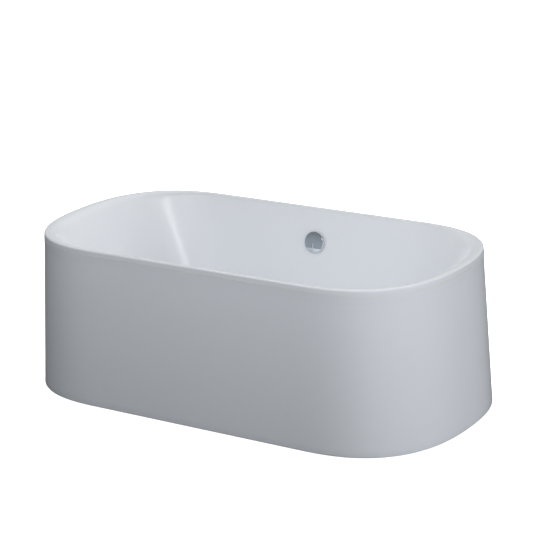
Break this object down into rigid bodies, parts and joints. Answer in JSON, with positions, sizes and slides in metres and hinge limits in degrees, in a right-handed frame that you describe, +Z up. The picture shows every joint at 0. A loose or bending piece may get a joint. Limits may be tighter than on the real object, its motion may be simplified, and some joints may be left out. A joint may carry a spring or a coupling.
{
  "type": "freestanding bathtub",
  "caption": "Double-ended freestanding bathtub with a rolled rim, a flared skirt down to the floor, and a turn-knob overflow that lifts the waste plug through a cable.",
  "frame": {"origin": "on the floor, under the middle of the tub", "axes": "+X along the tub's length, +Y across it towards the wall that holds the overflow, +Z up"},
  "size_m": [1.6978, 0.9098, 0.583],
  "materials": {
    "white_acrylic": "glossy white acrylic",
    "glass_fibre_laminate": "rough resin",
    "resin_coated_board": "raw",
    "galvanised_steel": "zinc plated",
    "chrome": "polished",
    "brass": "machined",
    "black_plastic": "moulded",
    "white_plastic": "moulded",
    "rubber": "matt"
  },
  "bodies": {
    "tub": {"base_board": "resin_coated_board", "basin_shell": "white_acrylic", "bonding_strip": "glass_fibre_laminate", "bracket_bolt_1": "galvanised_steel", "bracket_bolt_2": "galvanised_steel", "bracket_bolt_3": "galvanised_steel", "bracket_bolt_4": "galvanised_steel", "cable_ferrule": "galvanised_steel", "cable_sheath": "black_plastic", "cross_rail_left": "galvanised_steel", "cross_rail_right": "galvanised_steel", "frame_screw_1": "galvanised_steel", "frame_screw_2": "galvanised_steel", "frame_screw_3": "galvanised_steel", "frame_screw_4": "galvanised_steel", "hose_clip_lower": "galvanised_steel", "hose_clip_upper": "galvanised_steel", "lock_nut_1": "galvanised_steel", "lock_nut_2": "galvanised_steel", "lock_nut_3": "galvanised_steel", "lock_nut_4": "galvanised_steel", "long_rail_back": "galvanised_steel", "long_rail_front": "galvanised_steel", "outer_skirt": "white_acrylic", "overflow_body": "black_plastic", "overflow_gasket": "rubber", "overflow_hose": "white_plastic", "overflow_rosette": "chrome", "skirt_bracket_1": "galvanised_steel", "skirt_bracket_2": "galvanised_steel", "skirt_bracket_3": "galvanised_steel", "skirt_bracket_4": "galvanised_steel", "trap_bend": "black_plastic", "trap_nut": "black_plastic", "waste_body": "black_plastic", "waste_flange": "chrome", "waste_gasket": "rubber", "weld_nut_1": "galvanised_steel", "weld_nut_2": "galvanised_steel", "weld_nut_3": "galvanised_steel", "weld_nut_4": "galvanised_steel"},
    "knob": {"overflow_knob": "chrome", "overflow_spindle": "brass", "cable_wheel": "white_plastic"},
    "plug": {"waste_plug": "chrome", "plug_seal": "rubber", "plug_stem": "brass"},
    "lever": {"lift_lever": "white_plastic", "lever_shaft": "brass", "crank_arm": "white_plastic"},
    "cable_core": {"cable_wire": "galvanised_steel"},
    "foot_1": {"foot_pad_1": "black_plastic"},
    "stud_1": {"foot_stud_1": "galvanised_steel"},
    "foot_2": {"foot_pad_2": "black_plastic"},
    "stud_2": {"foot_stud_2": "galvanised_steel"},
    "foot_3": {"foot_pad_3": "black_plastic"},
    "stud_3": {"foot_stud_3": "galvanised_steel"},
    "foot_4": {"foot_pad_4": "black_plastic"},
    "stud_4": {"foot_stud_4": "galvanised_steel"}
  },
  "joints": [
    {"name": "knob_turn", "type": "hinge", "parent": "tub", "child": "knob", "pos_m": [0, 0.38411, 0.455], "axis": [0, -0.9863, 0.165], "range_deg": [0, 90]},
    {"name": "plug_lift", "type": "slide", "parent": "tub", "child": "plug", "axis": [0, 0, 1], "range_m": [0, 0.01213]},
    {"name": "lever_tilt", "type": "hinge", "parent": "tub", "child": "lever", "pos_m": [0, -0.022, 0.13056], "axis": [1, 0, 0], "range_deg": [0, 32]},
    {"name": "cable_pull", "type": "slide", "parent": "tub", "child": "cable_core", "axis": [0, 1, 0], "range_m": [0, 0.01654]},
    {"name": "foot_drop_1", "type": "slide", "parent": "tub", "child": "foot_1", "axis": [0, 0, -1], "range_m": [0, 0.02]},
    {"name": "stud_turn_1", "type": "hinge", "parent": "foot_1", "child": "stud_1", "pos_m": [-0.4, -0.3, 0.05], "axis": [0, 0, -1], "range_deg": [0, 4115]},
    {"name": "foot_drop_2", "type": "slide", "parent": "tub", "child": "foot_2", "axis": [0, 0, -1], "range_m": [0, 0.02]},
    {"name": "stud_turn_2", "type": "hinge", "parent": "foot_2", "child": "stud_2", "pos_m": [0.4, -0.3, 0.05], "axis": [0, 0, -1], "range_deg": [0, 4115]},
    {"name": "foot_drop_3", "type": "slide", "parent": "tub", "child": "foot_3", "axis": [0, 0, -1], "range_m": [0, 0.02]},
    {"name": "stud_turn_3", "type": "hinge", "parent": "foot_3", "child": "stud_3", "pos_m": [-0.4, 0.3, 0.05], "axis": [0, 0, -1], "range_deg": [0, 4115]},
    {"name": "foot_drop_4", "type": "slide", "parent": "tub", "child": "foot_4", "axis": [0, 0, -1], "range_m": [0, 0.02]},
    {"name": "stud_turn_4", "type": "hinge", "parent": "foot_4", "child": "stud_4", "pos_m": [0.4, 0.3, 0.05], "axis": [0, 0, -1], "range_deg": [0, 4115]}
  ],
  "couplings": [
    {"joint": "plug_lift", "follows": "knob_turn", "m_per_rad": 0.0077208},
    {"joint": "lever_tilt", "follows": "knob_turn", "ratio": 0.35555},
    {"joint": "cable_pull", "follows": "knob_turn", "m_per_rad": 0.010528},
    {"joint": "stud_turn_1", "follows": "foot_drop_1", "rad_per_m": 3590.4},
    {"joint": "stud_turn_2", "follows": "foot_drop_2", "rad_per_m": 3590.4},
    {"joint": "stud_turn_3", "follows": "foot_drop_3", "rad_per_m": 3590.4},
    {"joint": "stud_turn_4", "follows": "foot_drop_4", "rad_per_m": 3590.4}
  ]
}
